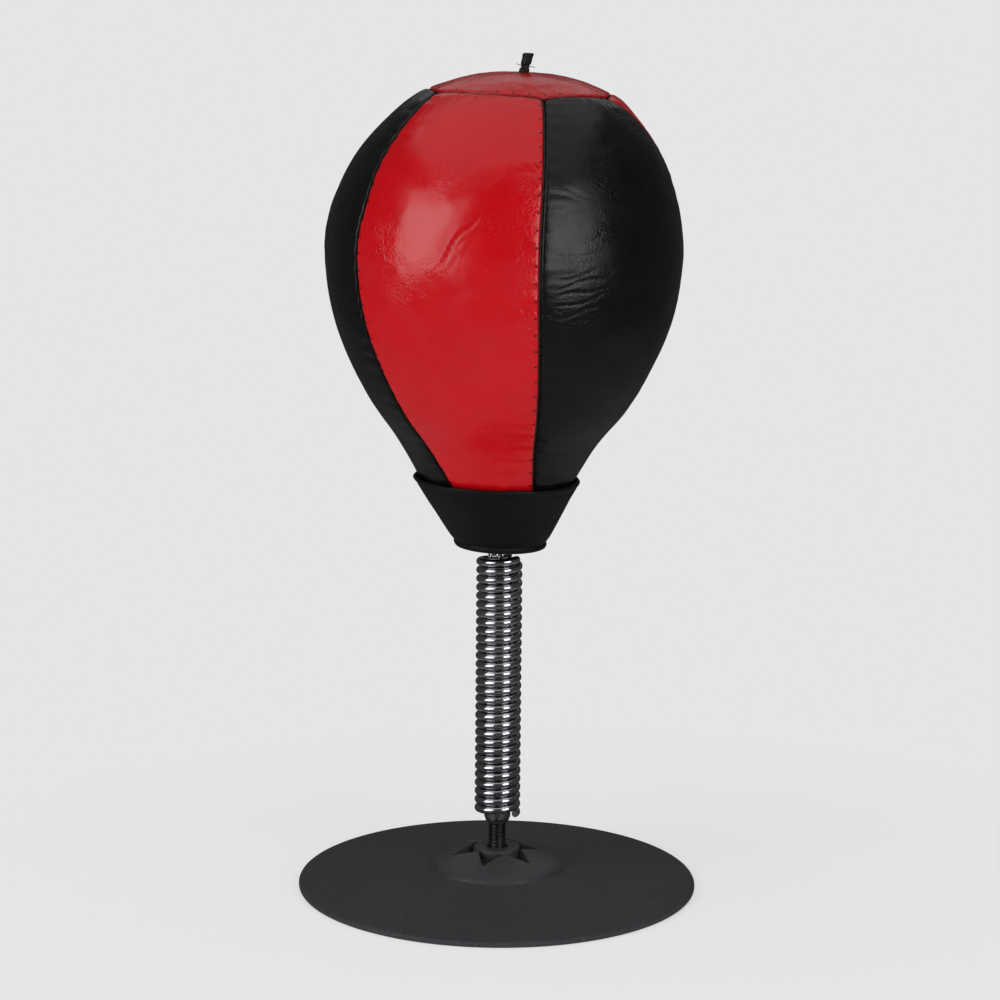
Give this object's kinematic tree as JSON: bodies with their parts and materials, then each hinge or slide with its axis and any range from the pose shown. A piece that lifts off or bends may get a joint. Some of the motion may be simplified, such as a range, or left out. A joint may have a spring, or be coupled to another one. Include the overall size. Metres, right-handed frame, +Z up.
{
  "type": "spring reflex bag",
  "caption": "Desktop punching ball: a pear-shaped air-filled ball in a cone-shaped holder on a close-coiled spring, which stands on a round rubber suction cup.",
  "frame": {"origin": "middle of the suction cup's face, on the surface that it stands on", "axes": "+Z up, -Y towards the boxer, +X to the right seen from the front; the ball leans a little to +X"},
  "size_m": [0.175, 0.175, 0.364],
  "materials": {
    "base_rubber": "matt moulded rubber",
    "steel": "plain turned steel",
    "dark_steel": "oiled black steel with a thread",
    "chrome": "bright chrome plate",
    "spring_chrome": "bright plated spring wire",
    "holder_leather": "black leatherette, satin",
    "board": "pressed board",
    "wood": "turned wood, unfinished",
    "bladder_rubber": "black latex rubber",
    "lining_cloth": "woven cotton backing",
    "red_leather": "glossy red synthetic leather",
    "black_leather": "glossy black synthetic leather",
    "thread": "waxed black thread"
  },
  "bodies": {
    "base": {"suction_cup": "base_rubber"},
    "stem": {"anchor_plate": "steel", "base_stud": "dark_steel", "lower_spring_plug": "chrome", "spring_coils_1": "spring_chrome"},
    "coils_2": {"spring_coils_2": "spring_chrome"},
    "coils_3": {"spring_coils_3": "spring_chrome"},
    "coils_4": {"spring_coils_4": "spring_chrome"},
    "coils_5": {"spring_coils_5": "spring_chrome"},
    "coils_6": {"spring_coils_6": "spring_chrome"},
    "head": {"spring_coils_7": "spring_chrome", "upper_spring_plug": "chrome", "head_stud": "steel", "rubber_washer": "bladder_rubber", "holder_cup": "holder_leather", "holder_base_disc": "board", "clamp_washer": "steel", "neck_block": "wood", "tee_nut": "steel", "bladder": "bladder_rubber", "cover_lining": "lining_cloth", "cover_panel_black_1": "black_leather", "cover_panel_red_1": "red_leather", "cover_panel_black_2": "black_leather", "cover_panel_red_2": "red_leather", "cover_panel_black_3": "black_leather", "cover_panel_red_3": "red_leather", "seam_welt_1": "thread", "seam_welt_2": "thread", "seam_welt_3": "thread", "seam_welt_4": "thread", "seam_welt_5": "thread", "seam_welt_6": "thread", "top_cap": "red_leather", "neck_plug": "bladder_rubber", "neck_tie": "thread"}
  },
  "joints": [
    {"name": "suction_press", "type": "slide", "parent": "base", "child": "stem", "axis": [0, 0, -1], "range_m": [0, 0.006], "stiffness_N_per_m": 10000, "deforming": ["suction_cup"]},
    {"name": "bend_fore_1", "type": "hinge", "parent": "stem", "child": "coils_2", "pos_m": [0, 0, 0.05306], "axis": [1, 0, 0], "range_deg": [-20, 20], "stiffness_Nm_per_rad": 2.85, "deforming": ["spring_coils_1", "spring_coils_2"]},
    {"name": "bend_side_1", "type": "hinge", "parent": "coils_2", "child": "coils_3", "pos_m": [0, 0, 0.06738], "axis": [0, 1, 0], "range_deg": [-20, 20], "stiffness_Nm_per_rad": 2.85, "deforming": ["spring_coils_2", "spring_coils_3"]},
    {"name": "bend_fore_2", "type": "hinge", "parent": "coils_3", "child": "coils_4", "pos_m": [0, 0, 0.08169], "axis": [1, 0, 0], "range_deg": [-20, 20], "stiffness_Nm_per_rad": 2.85, "deforming": ["spring_coils_3", "spring_coils_4"]},
    {"name": "bend_side_2", "type": "hinge", "parent": "coils_4", "child": "coils_5", "pos_m": [0, 0, 0.09601], "axis": [0, 1, 0], "range_deg": [-20, 20], "stiffness_Nm_per_rad": 2.85, "deforming": ["spring_coils_4", "spring_coils_5"]},
    {"name": "bend_fore_3", "type": "hinge", "parent": "coils_5", "child": "coils_6", "pos_m": [0, 0, 0.11032], "axis": [1, 0, 0], "range_deg": [-20, 20], "stiffness_Nm_per_rad": 2.85, "deforming": ["spring_coils_5", "spring_coils_6"]},
    {"name": "bend_side_3", "type": "hinge", "parent": "coils_6", "child": "head", "pos_m": [0, 0, 0.12464], "axis": [0, 1, 0], "range_deg": [-20, 20], "stiffness_Nm_per_rad": 2.85, "deforming": ["spring_coils_6", "spring_coils_7"]}
  ],
  "couplings": [
    {"joint": "bend_fore_2", "follows": "bend_fore_1", "ratio": 1},
    {"joint": "bend_fore_3", "follows": "bend_fore_1", "ratio": 1},
    {"joint": "bend_side_2", "follows": "bend_side_1", "ratio": 1},
    {"joint": "bend_side_3", "follows": "bend_side_1", "ratio": 1}
  ]
}
